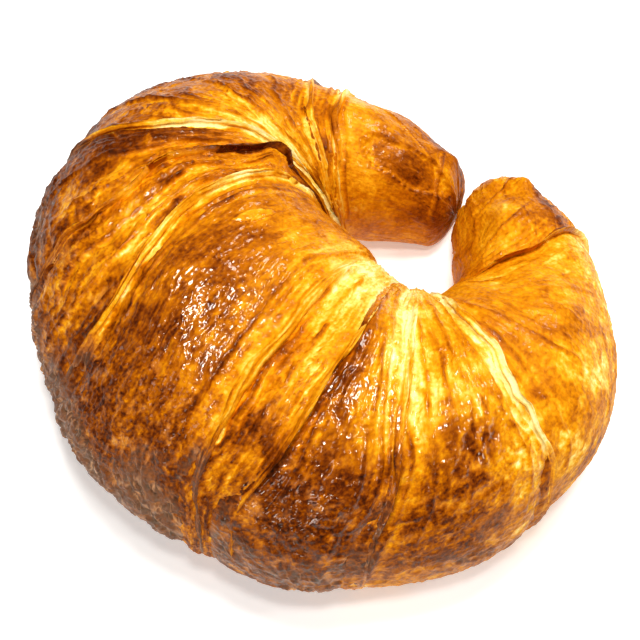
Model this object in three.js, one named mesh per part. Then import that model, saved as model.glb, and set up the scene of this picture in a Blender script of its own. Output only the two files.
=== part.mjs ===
// A curved croissant: a rolled, laminated pastry baked as a crescent, whose two arms curl round until
// their tips almost meet. One closed solid in millimetres, +Z up, resting on z = 0, with the origin
// under the middle of its outline. +X is to the right and +Y to the back, so the open side of the
// crescent looks to the back right.
import * as THREE from "three";

// Sections across the body, from the tip of the back arm, round the left, to the tip of the right arm.
// x and y give the middle of a section in plan, and facing the way its outer flank looks, in degrees
// anticlockwise from +X. The sections fan round the hole between the arms, so they never cross.
const SECTIONS = [
  { at: "back tip", x: 36.5, y: 41, width: 20, height: 19, facing: 60 },
  { at: "back end", x: 29, y: 44.5, width: 25, height: 26, facing: 67 },
  { at: "back arm", x: 17, y: 49, width: 34, height: 33, facing: 80 },
  { at: "back folds", x: 0, y: 52.5, width: 44, height: 38, facing: 108 },
  { at: "back shoulder", x: -22.5, y: 47, width: 62, height: 46, facing: 140 },
  { at: "back left", x: -32, y: 27, width: 78.5, height: 52, facing: 168 },
  { at: "middle", x: -29, y: 2.5, width: 85, height: 54, facing: 195 },
  { at: "front left", x: -16, y: -18.5, width: 85, height: 54, facing: 222 },
  { at: "front", x: 7, y: -33, width: 79, height: 52, facing: 250 },
  { at: "front right", x: 31.5, y: -30, width: 65.5, height: 48, facing: 278 },
  { at: "right side", x: 49, y: -14.5, width: 54, height: 43, facing: 310 },
  { at: "right fold", x: 53.5, y: 6, width: 39.5, height: 37, facing: 343 },
  { at: "right arm", x: 51.5, y: 24, width: 33, height: 31, facing: 368 },
  { at: "right end", x: 46, y: 37, width: 23, height: 25, facing: 384 },
  { at: "right tip", x: 45, y: 46, width: 17, height: 17, facing: 388 },
];
const LAST = SECTIONS.length - 1;

// Edges of the rolled dough, where one turn ends over the next. outer, crown and inner say where an
// edge crosses the outer flank, the top and the inner flank, counted in sections from the back tip.
// step is how far the turn nearer the middle stands above the one that it covers.
const EDGES = [
  { name: "back end fold", outer: 2.45, crown: 2.88, inner: 3.2, step: 2.2 },
  { name: "back strap", outer: 2.75, crown: 3.22, inner: 3.36, step: 2.4 },
  { name: "back shoulder fold", outer: 4.85, crown: 4.5, inner: 3.4, step: 2.2 },
  { name: "torn flap", outer: 5.85, crown: 5.08, inner: 3.72, step: 2.8 },
  { name: "middle, back edge", outer: 6.38, crown: 5.84, inner: 3.9, step: 3.2 },
  { name: "middle, front edge", outer: 7.42, crown: 7.24, inner: 6.9, step: 3.0 },
  { name: "front fold", outer: 7.62, crown: 7.8, inner: 7.85, step: 2.2 },
  { name: "front edge", outer: 8.3, crown: 8.42, inner: 8.2, step: 2.8 },
  { name: "right edge", outer: 9.38, crown: 9.35, inner: 8.55, step: 3.0 },
  { name: "right arm fold", outer: 12, crown: 11.42, inner: 10.2, step: -1.4 },
];

// The turns of dough between those edges. swell is how far a turn domes up, and ridges and ridge give
// the number and height of the finer folds that run along it.
const TURNS = [
  { name: "back end", swell: 1.4, ridges: 0, ridge: 0 },
  { name: "back strap", swell: 0.6, ridges: 0, ridge: 0 },
  { name: "back", swell: 2.0, ridges: 2, ridge: 0.4 },
  { name: "shoulder", swell: 1.2, ridges: 2, ridge: 0.5 },
  { name: "flap", swell: 0.6, ridges: 3, ridge: 0.6 },
  { name: "middle", swell: 3.0, ridges: 0, ridge: 0 },
  { name: "middle strap", swell: 0.8, ridges: 0, ridge: 0 },
  { name: "front", swell: 2.4, ridges: 0, ridge: 0 },
  { name: "front right", swell: 2.8, ridges: 0, ridge: 0 },
  { name: "right", swell: 2.2, ridges: 3, ridge: 0.4 },
  { name: "right end", swell: 1.6, ridges: 2, ridge: 0.4 },
];
const MIDDLE_TURN = 5; // the last turn of the roll, which lies on top of all the others

// The flap's corner, which has come loose on the inner shoulder and reaches over the turn below.
const CORNER = { edge: "torn flap", at: 124, spread: 9, reach: 0.45 };

const WIDEST = 0.4; // share of the height at which a section is widest
const UNDERCUT = 1.25; // how fast the flanks turn in below that, down to the flat base
const ROUNDING = 0.95; // power that makes the crown a little fuller than an ellipse
const FLAT_FROM = -0.8; // sine of the angle below which a section lies on the flat base
const RELIEF_FULL = -0.2; // and the one above which the folds have their full depth
const OUTER_RELIEF = 0.5; // share of the folds' depth that is left on the outer flank
const INNER_RELIEF = 0.3; // and on the inner one
const EDGE_GAP = 0.03; // half the width of the slope at a dough edge, in sections
const LEAST_TURN = 0.14; // least width of a turn where the edges run together on the inner flank
const FULL_TURN = 0.4; // and the least width at which its relief has its full height
const LUMP = 0.45; // height of the broad lumps that the crust rose into
const TIP_ROUND = { back: 0.6, right: 0.55 }; // length of the rounding at each tip, in sections

const AROUND = 40; // points round a section
const RINGS_PER_SECTION = 4.6;
const CENTRE = { x: -0.06, y: 1.24 }; // middle of the outline in the sections' own plan

const DEGREE = Math.PI / 180;

function smoothstep(low, high, value) {
  const s = THREE.MathUtils.clamp((value - low) / (high - low), 0, 1);
  return s * s * (3 - 2 * s);
}

// Catmull-Rom value of one size of the sections, at t sections from the back tip.
function along(key, t) {
  const i = Math.min(Math.floor(t), LAST - 1);
  const f = t - i;
  const [a, b, c, d] = [i - 1, i, i + 1, i + 2].map(
    (n) => SECTIONS[THREE.MathUtils.clamp(n, 0, LAST)][key],
  );
  return (
    0.5 *
    (2 * b + (c - a) * f + (2 * a - 5 * b + 4 * c - d) * f * f + (3 * b - a - 3 * c + d) * f ** 3)
  );
}

// Share of a section's size that the rounding leaves at t, from 0 at a tip to 1 on the arm.
function tipShare(t) {
  const depth = Math.min(t / TIP_ROUND.back, (LAST - t) / TIP_ROUND.right, 1);
  return Math.sqrt(Math.max(0, 1 - (1 - depth) ** 2));
}

// Place of an edge at the angle phi round the section: 0 outer flank, 90 crown, 180 inner flank.
function edgeAt(edge, phi) {
  const middle = (edge.outer + edge.inner) / 2;
  const second = (middle - edge.crown) / 4;
  const swing = (edge.outer - edge.inner) / 2;
  const wobble = 0.03 * Math.sin(3 * phi + 2.1 * edge.crown) + 0.015 * Math.sin(7 * phi + edge.outer);
  const place =
    middle - second + swing * Math.cos(phi) - 2 * second * Math.sin(phi) + second * Math.cos(2 * phi);
  const corner =
    edge.name === CORNER.edge
      ? CORNER.reach * Math.exp(-(((phi / DEGREE - CORNER.at) / CORNER.spread) ** 2))
      : 0;
  return place + wobble - corner;
}

// Places of all the edges at that angle, in order, with both tips.
function edgesAt(phi) {
  const places = [0];
  for (const edge of EDGES) places.push(Math.max(edgeAt(edge, phi), places.at(-1) + LEAST_TURN));
  return [...places, LAST];
}

// Height of the folds' relief in a turn, at share f of the way from its back edge to its front edge.
function reliefAt(turn, f) {
  const { swell, ridges, ridge } = TURNS[turn];
  const back = turn > 0 ? EDGES[turn - 1].step / 2 : 0;
  const front = turn < EDGES.length ? EDGES[turn].step / 2 : 0;
  const backLift = turn <= MIDDLE_TURN ? back : -back;
  const frontLift = turn >= MIDDLE_TURN ? front : -front;
  const dome = 1 - Math.abs(2 * f - 1) ** 2.4;
  const folds = ridge * Math.sin(Math.PI * ridges * f) ** 2;
  return backLift + (frontLift - backLift) * f + swell * dome + folds;
}

// Share of that relief at the angle phi: none on the flat base, less on the flanks than on top.
function reliefShare(phi) {
  const low = smoothstep(FLAT_FROM, RELIEF_FULL, Math.sin(phi));
  const flank = Math.cos(phi) > 0 ? OUTER_RELIEF : INNER_RELIEF;
  return low * THREE.MathUtils.lerp(1, flank, smoothstep(0.2, 0.9, Math.abs(Math.cos(phi))));
}

// Point of the surface at t sections from the back tip and the angle phi, lifted by the relief.
function surfacePoint(t, phi, relief) {
  const share = tipShare(t);
  const half = (along("width", t) / 2) * share;
  const height = along("height", t);
  const middleZ = WIDEST * height;
  const sine = Math.sin(phi);
  const rise = sine > 0 ? (height - middleZ) * sine ** ROUNDING : middleZ * UNDERCUT * sine;
  const steep = sine > 0 ? height - middleZ : middleZ * UNDERCUT;
  const normal = new THREE.Vector2(Math.cos(phi) * steep, sine * half || 0).normalize();
  const lift = relief * reliefShare(phi) * share;
  const out = half * Math.cos(phi) + lift * normal.x;
  const z = middleZ + rise * share + lift * normal.y;
  const facing = along("facing", t) * DEGREE;
  return new THREE.Vector3(
    along("x", t) + out * Math.cos(facing) - CENTRE.x,
    along("y", t) + out * Math.sin(facing) - CENTRE.y,
    Math.max(0, z),
  );
}

// Shares along a turn at which it has a ring of points, closer together at its two edges and tips.
function ringShares(turn) {
  const from = turn > 0 ? EDGES[turn - 1].crown : 0;
  const to = turn < EDGES.length ? EDGES[turn].crown : LAST;
  const count = Math.max(5, Math.round((to - from) * RINGS_PER_SECTION), 3 * TURNS[turn].ridges);
  return Array.from({ length: count + 1 }, (_, n) => 0.5 - 0.5 * Math.cos((Math.PI * n) / count));
}

// One ring of points across the body.
function ring(turn, f) {
  return Array.from({ length: AROUND }, (_, n) => {
    const phi = (2 * Math.PI * n) / AROUND;
    const places = edgesAt(phi);
    const from = places[turn] + (turn > 0 ? EDGE_GAP : 0);
    const to = places[turn + 1] - (turn < EDGES.length ? EDGE_GAP : 0);
    const t = THREE.MathUtils.lerp(from, to, f);
    const lumps = LUMP * (Math.sin(5 * phi + 3.1 * t) + Math.sin(4 * phi - 4.7 * t + 1));
    const room = smoothstep(LEAST_TURN / 2, FULL_TURN, places[turn + 1] - places[turn]);
    return surfacePoint(t, phi, room * reliefAt(turn, f) + lumps);
  });
}

function tipPoint(t) {
  return surfacePoint(t, Math.PI / 2, 0);
}

function croissantGeometry() {
  const rings = [];
  for (let turn = 0; turn <= EDGES.length; turn++)
    for (const f of ringShares(turn))
      if (!(turn === 0 && f === 0) && !(turn === EDGES.length && f === 1)) rings.push(ring(turn, f));
  const points = [...rings.flat(), tipPoint(0), tipPoint(LAST)];
  const backPole = points.length - 2;
  const rightPole = points.length - 1;
  const at = (r, n) => r * AROUND + (n % AROUND);
  const faces = [];
  for (let n = 0; n < AROUND; n++) {
    faces.push(backPole, at(0, n), at(0, n + 1));
    for (let r = 0; r + 1 < rings.length; r++) {
      faces.push(at(r, n), at(r + 1, n), at(r + 1, n + 1));
      faces.push(at(r, n), at(r + 1, n + 1), at(r, n + 1));
    }
    faces.push(rightPole, at(rings.length - 1, n + 1), at(rings.length - 1, n));
  }
  const geometry = new THREE.BufferGeometry();
  geometry.setAttribute(
    "position",
    new THREE.Float32BufferAttribute(points.flatMap((p) => [p.x, p.y, p.z]), 3),
  );
  geometry.setIndex(faces);
  geometry.computeVertexNormals();
  return geometry;
}

const crust = new THREE.MeshStandardMaterial({ color: 0xc07a24, roughness: 0.4, metalness: 0 });
const croissant = new THREE.Mesh(croissantGeometry(), crust);
croissant.name = "croissant";

const part = new THREE.Group();
part.add(croissant);

export default part;
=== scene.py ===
"""Looks of a curled croissant of glazed, laminated dough, in the frame of the CAD, in metres.

Every turn of the roll is a closed shell of its own. It has a raised, ragged lip where it ends over its
neighbour, and runs on under the turn that covers it. The shapes follow the same sections and dough
edges as the solid, which are in millimetres, and the blisters, streaks, torn layers and baked colours
are worked out from the place on the crust.
"""
import math

import bpy
import numpy as np
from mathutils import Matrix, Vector


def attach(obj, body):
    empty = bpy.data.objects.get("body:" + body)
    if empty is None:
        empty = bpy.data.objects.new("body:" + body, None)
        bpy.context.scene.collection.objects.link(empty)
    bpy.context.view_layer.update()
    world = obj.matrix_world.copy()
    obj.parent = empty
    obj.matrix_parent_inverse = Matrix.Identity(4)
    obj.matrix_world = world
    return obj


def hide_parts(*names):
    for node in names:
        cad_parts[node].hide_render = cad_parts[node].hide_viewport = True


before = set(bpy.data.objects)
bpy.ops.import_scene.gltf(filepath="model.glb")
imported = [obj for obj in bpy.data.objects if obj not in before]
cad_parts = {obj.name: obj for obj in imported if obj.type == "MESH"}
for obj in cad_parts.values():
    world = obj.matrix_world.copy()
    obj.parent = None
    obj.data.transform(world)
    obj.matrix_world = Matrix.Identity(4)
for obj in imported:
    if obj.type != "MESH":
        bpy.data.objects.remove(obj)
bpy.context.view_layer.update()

MM = 0.001

# The form, as in the solid

# name, x, y, width, height, facing: a section across the body, from the back tip round the left to the
# right tip. x and y are its middle in plan, and facing is where its outer flank looks, in degrees.
SECTIONS = [
    ("back tip", 36.5, 41, 20, 19, 60),
    ("back end", 29, 44.5, 25, 26, 67),
    ("back arm", 17, 49, 34, 33, 80),
    ("back folds", 0, 52.5, 44, 38, 108),
    ("back shoulder", -22.5, 47, 62, 46, 140),
    ("back left", -32, 27, 78.5, 52, 168),
    ("middle", -29, 2.5, 85, 54, 195),
    ("front left", -16, -18.5, 85, 54, 222),
    ("front", 7, -33, 79, 52, 250),
    ("front right", 31.5, -30, 65.5, 48, 278),
    ("right side", 49, -14.5, 54, 43, 310),
    ("right fold", 53.5, 6, 39.5, 37, 343),
    ("right arm", 51.5, 24, 33, 31, 368),
    ("right end", 46, 37, 23, 25, 384),
    ("right tip", 45, 46, 17, 17, 388),
]
X, Y, WIDTH, HEIGHT, FACING = (np.array([row[n] for row in SECTIONS], float) for n in range(1, 6))
LAST = len(SECTIONS) - 1

# name, outer, crown, inner, step: where a dough edge crosses the outer flank, the top and the inner
# flank, in sections from the back tip, and how far the turn nearer the middle stands above the other.
EDGES = [
    ("back end fold", 2.45, 2.88, 3.2, 2.2),
    ("back strap", 2.75, 3.22, 3.36, 2.4),
    ("back shoulder fold", 4.85, 4.5, 3.4, 2.2),
    ("torn flap", 5.85, 5.08, 3.72, 2.8),
    ("middle, back edge", 6.38, 5.84, 3.9, 3.2),
    ("middle, front edge", 7.42, 7.24, 6.9, 3.0),
    ("front fold", 7.62, 7.8, 7.85, 2.2),
    ("front edge", 8.3, 8.42, 8.2, 2.8),
    ("right edge", 9.38, 9.35, 8.55, 3.0),
    ("right arm fold", 12, 11.42, 10.2, -1.4),
]
MIDDLE_TURN = 5  # the last turn of the roll, which lies on top of all the others

WIDEST = 0.4  # level where a section is widest, as a share of its height
UNDERCUT = 1.25  # how far the outline goes on below it, before the base cuts it flat
ROUNDING = 0.95  # exponent of the outline above it
FLAT_FROM, RELIEF_FULL = -0.8, -0.2  # sines of the angles between which the relief fades to the base
OUTER_RELIEF, INNER_RELIEF = 0.5, 0.3  # share of the relief that is left on the flanks
LEAST_TURN, FULL_TURN = 0.06, 0.4  # in sections, narrowest turn and the width of full relief
LUMP = 0.45  # height of the broad lumps, in mm
TIP_ROUND_BACK, TIP_ROUND_RIGHT = 0.6, 0.55  # length of the rounded tips, in sections
CENTRE = np.array([-0.06, 1.24, 0.0])  # middle of the box in plan, in mm
CORNER_AT, CORNER_SPREAD, CORNER_REACH = 123, 6, 0.45  # the flap's corner: degrees, spread and reach

# The looks of each turn. swell, ridges and ridge are those of the solid. browning_and_shade is how
# brown its crown is, from 0, pale, to 1, nearly black, and rim, inner, back and front are what is added
# on its outer rim, on its inner flank and beside its back and front edges. streak, crease, sheets,
# blister and gloss say how much of streaks, creases, torn layers, blisters and shine it has, and
# dull_rim_and_sheen how much of a crumpled, dull grey rim with painted reflections on its crests it
# has.
# The fibres of a lengthwise turn run along the arm, and those of the others round it.
PLAIN_TURN = dict(ridges=0, ridge=0, inner=0, back=0, front=0, dull_rim_and_sheen=0, lengthwise=False)
TURNS = {
    "back_end": dict(
        PLAIN_TURN, swell=1.4, browning_and_shade=0.53, rim=0.08, inner=-0.06, back=0.1, front=-0.12,
        streak=0.2, crease=0.2, sheets=0.4, blister=0.3, gloss=0.45, lengthwise=True,
    ),
    "back_strap": dict(
        PLAIN_TURN, swell=0.6, browning_and_shade=0.5, rim=0.1,
        streak=0.8, crease=0.8, sheets=0.8, blister=0.1, gloss=0.3,
    ),
    "back": dict(
        PLAIN_TURN, swell=2.0, ridges=2, ridge=0.4, browning_and_shade=0.4, rim=0.32,
        streak=0.9, crease=0.55, sheets=0.8, blister=0.25, gloss=0.4, dull_rim_and_sheen=0.5,
    ),
    "shoulder": dict(
        PLAIN_TURN, swell=1.2, ridges=2, ridge=0.5, browning_and_shade=0.5, rim=0.32, inner=-0.05, front=0.1,
        streak=1.0, crease=0.9, sheets=0.8, blister=0.3, gloss=0.4, dull_rim_and_sheen=1.0,
    ),
    "flap": dict(
        PLAIN_TURN, swell=0.6, ridges=3, ridge=0.6, browning_and_shade=0.43, rim=0.1, inner=0.2,
        streak=1.0, crease=1.1, sheets=0.9, blister=0.2, gloss=0.42, dull_rim_and_sheen=1.0,
    ),
    "middle": dict(
        PLAIN_TURN, swell=3.0, browning_and_shade=0.54, rim=0.19, inner=-0.02,
        streak=0.6, crease=0.25, sheets=0.6, blister=1.0, gloss=0.5, dull_rim_and_sheen=1.0,
    ),
    "middle_strap": dict(
        PLAIN_TURN, swell=0.8, browning_and_shade=0.34, rim=0.3, inner=-0.14,
        streak=0.6, crease=1, sheets=0.8, blister=0.3, gloss=0.28, dull_rim_and_sheen=0.2,
    ),
    "front": dict(
        PLAIN_TURN, swell=2.4, browning_and_shade=0.56, rim=0.14, inner=-0.14, front=-0.08,
        streak=0.35, crease=0.3, sheets=0.7, blister=0.9, gloss=0.8, dull_rim_and_sheen=0.6,
    ),
    "front_right": dict(
        PLAIN_TURN, swell=2.8, browning_and_shade=0.47, rim=0.14, inner=-0.1, back=-0.3, front=-0.12,
        streak=0.5, crease=0.5, sheets=0.6, blister=0.6, gloss=0.5, dull_rim_and_sheen=0.4,
    ),
    "right": dict(
        PLAIN_TURN, swell=2.2, ridges=3, ridge=0.4, browning_and_shade=0.45, rim=0.06, inner=-0.04,
        streak=0.4, crease=0.35, sheets=0.45, blister=0.25, gloss=0.28,
    ),
    "right_end": dict(
        PLAIN_TURN, swell=1.6, ridges=2, ridge=0.4, browning_and_shade=0.51, rim=-0.02,
        streak=0.6, crease=0.8, sheets=0.6, blister=0.2, gloss=0.3, lengthwise=True,
    ),
}
TURN_NAMES = list(TURNS)

# How each edge looks: how loose its lip is, how far its face slopes forward as it comes down, as a
# share of the drop, how much of the step the covered turn rises to fill, how ragged the lip is in mm,
# how pale its rim is, from how many degrees the rim is a thin burnt line instead, and how dark the
# painted shadow of the lip is on the covered turn beside it (shade), over which width in mm.
PLAIN_EDGE = dict(burnt=200, shade=0.18, lip_shadow_width=0.7)
EDGE_LOOKS = {
    "back end fold": dict(PLAIN_EDGE, loose=0.2, slope=0.8, fill=0.65, ragged=0.4, pale=0.2),
    "back strap": dict(PLAIN_EDGE, loose=0.2, slope=0.8, fill=0.65, ragged=0.4, pale=0.15),
    "back shoulder fold": dict(
        PLAIN_EDGE, loose=0.5, slope=0.3, fill=0.45, ragged=0.5, pale=0.35, shade=0.2,
    ),
    "torn flap": dict(
        PLAIN_EDGE, loose=0.45, slope=0.1, fill=0.4, ragged=0.4, pale=0.2, burnt=98, shade=0.22,
        lip_shadow_width=1,
    ),
    "middle, back edge": dict(PLAIN_EDGE, loose=0.4, slope=0.5, fill=0.45, ragged=0.6, pale=0.3),
    "middle, front edge": dict(PLAIN_EDGE, loose=0, slope=1.3, fill=0.6, ragged=0.8, pale=0.15),
    "front fold": dict(PLAIN_EDGE, loose=0, slope=0.8, fill=0.55, ragged=0.8, pale=0.15),
    "front edge": dict(PLAIN_EDGE, loose=0.2, slope=0.9, fill=0.6, ragged=0.8, pale=0.15),
    "right edge": dict(
        PLAIN_EDGE, loose=0.5, slope=0.5, fill=0.5, ragged=1.6, pale=0.4, shade=0.22, lip_shadow_width=1,
    ),
    "right arm fold": dict(
        PLAIN_EDGE, loose=0.15, slope=0.6, fill=0.35, ragged=0.5, pale=0, shade=0.28, lip_shadow_width=2.2,
    ),
}
FILL_REACH = 3.6  # how far from a lip the covered turn is raised, in mm
LIP_SINK, SINK_REACH = 1.2, 3  # how far a lip sinks low on the flank, and over which length, in mm

GRAIN = 0.38  # spacing of the points on the crown and round a turn, in mm
OUTER_GRAIN = 0.56  # and of the rows on the outer flank, where the turns are widest
LIP_ROUND = 0.45  # rounding of a lip's upper edge, in mm
PALE_RIM, BURNT_RIM = 0.8, 0.45  # width of a lip's pale or burnt rim, in mm
LIP_ROWS = 12
TIP_ROWS = 26
BASE_START, BASE_END = 230, 310  # degrees between which the section is the flat base
BASE_COLUMNS = 26
UNDERLAP = 4.0  # how far a covered turn runs on under its neighbour, in mm
SINK = 0.35  # and how steeply it sinks there
SHEET = 0.34  # thickness of a torn layer, in mm
EDGE_LINE = 1.9  # spacing of the layers that show beside an edge, in mm
FAR, NEAR = 99.0, 50  # distance in mm that stands for no edge, and the distance up to which one counts
NUDGE = 0.02  # sections to either side over which a section's length is measured
LEAST_SECTION = 9  # shortest length of a section that counts, in mm
TURN_APART = 41.7  # how far apart the turns are in the noises that run along them
WARP = np.array([2.4, 0.0, 0.0])  # how far the lines of the dough wander across the turn, in mm
MOST_BAKED = 0.86


def smoothstep(low, high, value):
    s = np.clip((value - low) / (high - low), 0, 1)
    return s * s * (3 - 2 * s)


def bell(away, width):
    return np.exp(-((away / width) ** 2))


def place(x, y, z):
    return np.stack(np.broadcast_arrays(x, y, z), -1)


def stretched(p, across_mm, around_mm):
    """Points of the flow, scaled for a noise whose cells are that long across the turn and round it."""
    return p * np.array([1 / across_mm, 1 / around_mm, 1])


def along(values, t):
    """Catmull-Rom value of one size of the sections, at t sections from the back tip."""
    i = np.clip(np.floor(t).astype(int), 0, LAST - 1)
    f = t - i
    a, b, c, d = (values[np.clip(i + n, 0, LAST)] for n in (-1, 0, 1, 2))
    return 0.5 * (
        2 * b + (c - a) * f + (2 * a - 5 * b + 4 * c - d) * f**2 + (3 * b - a - 3 * c + d) * f**3
    )


def tip_share(t):
    depth = np.minimum(np.minimum(t / TIP_ROUND_BACK, (LAST - t) / TIP_ROUND_RIGHT), 1)
    return np.sqrt(np.maximum(0, 1 - (1 - depth) ** 2))


def edge_at(edge, phi):
    """Place of an edge at the angle phi round the section: 0 outer flank, 90 crown, 180 inner flank."""
    name, outer, crown, inner, _ = edge
    middle = (outer + inner) / 2
    second = (middle - crown) / 4
    swing = (outer - inner) / 2
    wobble = 0.03 * np.sin(3 * phi + 2.1 * crown) + 0.015 * np.sin(7 * phi + outer)
    section = middle - second + swing * np.cos(phi)
    section = section - 2 * second * np.sin(phi) + second * np.cos(2 * phi)
    if name == "torn flap":
        section = section - CORNER_REACH * bell(np.degrees(phi) - CORNER_AT, CORNER_SPREAD)
    return section + wobble


def edges_at(phi):
    """Places of all the edges at that angle, in order, with both tips."""
    places = [np.zeros_like(phi)]
    for edge in EDGES:
        places.append(np.maximum(edge_at(edge, phi), places[-1] + LEAST_TURN))
    return places + [np.full_like(phi, LAST)]


def relief_at(turn, f):
    """Height of a turn's relief in mm, at share f of the way from its back edge to its front edge."""
    look = TURNS[TURN_NAMES[turn]]
    back = EDGES[turn - 1][4] / 2 if turn > 0 else 0
    front = EDGES[turn][4] / 2 if turn < len(EDGES) else 0
    back_lift = back if turn <= MIDDLE_TURN else -back
    front_lift = front if turn >= MIDDLE_TURN else -front
    dome = 1 - np.abs(2 * f - 1) ** 2.4
    folds = look["ridge"] * np.sin(np.pi * look["ridges"] * f) ** 2
    return back_lift + (front_lift - back_lift) * f + look["swell"] * dome + folds


def relief_share(phi):
    low = smoothstep(FLAT_FROM, RELIEF_FULL, np.sin(phi))
    flank = np.where(np.cos(phi) > 0, OUTER_RELIEF, INNER_RELIEF)
    return low * (1 + (flank - 1) * smoothstep(0.2, 0.9, np.abs(np.cos(phi))))


def surface_point(t, phi, relief):
    """Points in mm of the surface at t sections from the back tip and the angle phi."""
    share = tip_share(t)
    half = along(WIDTH, t) / 2 * share
    height = along(HEIGHT, t)
    middle_z = WIDEST * height
    sine = np.sin(phi)
    steep = np.where(sine > 0, height - middle_z, middle_z * UNDERCUT)
    rise = np.where(sine > 0, steep * np.abs(sine) ** ROUNDING, steep * sine)
    across, up = np.cos(phi) * steep, sine * half
    length = np.hypot(across, up) + 1e-9
    lift = relief * relief_share(phi) * share
    out = half * np.cos(phi) + lift * across / length
    z = middle_z + rise * share + lift * up / length
    facing = np.radians(along(FACING, t))
    point = np.stack(
        [along(X, t) + out * np.cos(facing), along(Y, t) + out * np.sin(facing), np.maximum(0, z)], -1
    )
    return point - CENTRE


# Noise, all of it from fixed seeds

TABLE_SIZE = 4096
TABLE = np.random.default_rng(7).uniform(-1, 1, TABLE_SIZE)
JITTER = np.random.default_rng(11).uniform(0, 1, (TABLE_SIZE, 3))


def cell_hash(cell, seed):
    mixed = cell[..., 0] * 73856093 ^ cell[..., 1] * 19349663 ^ cell[..., 2] * 83492791 ^ seed * 7919
    return mixed & TABLE_SIZE - 1


def noise(p, seed):
    """Smooth value noise between about -1 and 1, one cell wide."""
    cell = np.floor(p).astype(np.int64)
    f = p - cell
    f = f * f * f * (f * (f * 6 - 15) + 10)
    total = 0
    for corner in np.ndindex(2, 2, 2):
        weight = np.prod(np.where(corner, f, 1 - f), -1)
        total = total + weight * TABLE[cell_hash(cell + corner, seed)]
    return total


def fbm(p, seed, octaves=3):
    total, scale = 0, 0
    for n in range(octaves):
        total = total + noise(p * 2.03**n + 17.3 * n, seed + n) * 0.5**n
        scale += 0.5**n
    return total / scale


def ridged(p, seed, octaves=2):
    total, scale = 0, 0
    for n in range(octaves):
        total = total + (1 - 2 * np.abs(noise(p * 2.1**n + 9.1 * n, seed + n))) * 0.5**n
        scale += 0.5**n
    return total / scale


def bubbles(p, seed):
    """Round domes from 0 to 1, about one to a cell, like the blisters of a glazed crust."""
    cell = np.floor(p).astype(np.int64)
    best = np.full(p.shape[:-1], 9.0)
    for corner in np.ndindex(3, 3, 3):
        near = cell + np.array(corner) - 1
        key = cell_hash(near, seed)
        gap = near + JITTER[key] - p
        size = 0.45 + 0.4 * JITTER[key][..., 0]
        best = np.minimum(best, np.sum(gap * gap, -1) / size**2)
    return np.sqrt(np.clip(1 - best, 0, 1))


# Places on the crust, by section and by angle round it

# The long folds of the turns: turn, shares across it where a fold starts and ends, degrees there,
# depth in mm, how pale its ridge is and how broad.
FOLDS = [
    ("back_end", 0.93, 0.9, 60, 170, 0.7, 0.8, 1),
    ("back_end", 0.8, 0.35, 55, 88, 0.6, 1.0, 1),
    ("back_end", 0.78, 0.2, 118, 136, 0.5, 1.0, 1),
    ("back_end", 0.3, 0.12, 70, 150, 0.5, 0.6, 1),
    ("back", 0.18, 0.1, 60, 140, 0.6, 0.4, 1),
    ("back", 0.5, 0.42, 20, 130, 0.5, 0.6, 1),
    ("back", 0.78, 0.7, 10, 120, 0.6, 0.9, 1),
    ("shoulder", 0.35, 0.4, 5, 120, 0.6, 0.9, 1),
    ("shoulder", 0.7, 0.72, 10, 120, 0.5, 0.8, 1),
    ("flap", 0.3, 0.25, 10, 120, 0.6, 0.9, 1),
    ("flap", 0.52, 0.55, 20, 118, 0.6, 1.0, 1),
    ("flap", 0.78, 0.8, 10, 125, 0.5, 0.9, 1),
    ("middle", 0.1, 0.12, 50, 130, 0.4, 0.9, 1),
    ("middle", 0.86, 0.9, 20, 130, 0.5, 0.7, 1),
    ("middle_strap", 0.28, 0.35, 5, 135, 0.8, 0.7, 1),
    ("middle_strap", 0.62, 0.6, 10, 130, 0.7, 0.8, 1),
    ("front", 0.2, 0.3, 30, 125, 0.6, 0.5, 1),
    ("front", 0.8, 0.74, 5, 135, 0.5, 0.6, 1.4),
    ("front_right", 0.1, 0.14, 5, 130, 0.8, 1.2, 1.4),
    ("front_right", 0.26, 0.3, 20, 120, 0.6, 1.0, 1),
    ("front_right", 0.42, 0.42, 75, 130, 0.5, 0.7, 1),
    ("front_right", 0.6, 0.56, 62, 125, 0.5, 0.8, 1),
    ("front_right", 0.88, 0.86, 15, 125, 0.8, 1.3, 1.7),
    ("right", 0.07, 0.1, 20, 120, 0.7, 1.2, 1),
    ("right", 0.28, 0.2, 60, 130, 0.4, 0.4, 1),
    ("right", 0.8, 0.6, 95, 150, 0.5, 0.6, 1),
    ("right_end", 0.3, 0.18, 60, 130, 0.6, 0.6, 1),
    ("right_end", 0.62, 0.5, 50, 130, 0.5, 0.6, 1),
]
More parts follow.
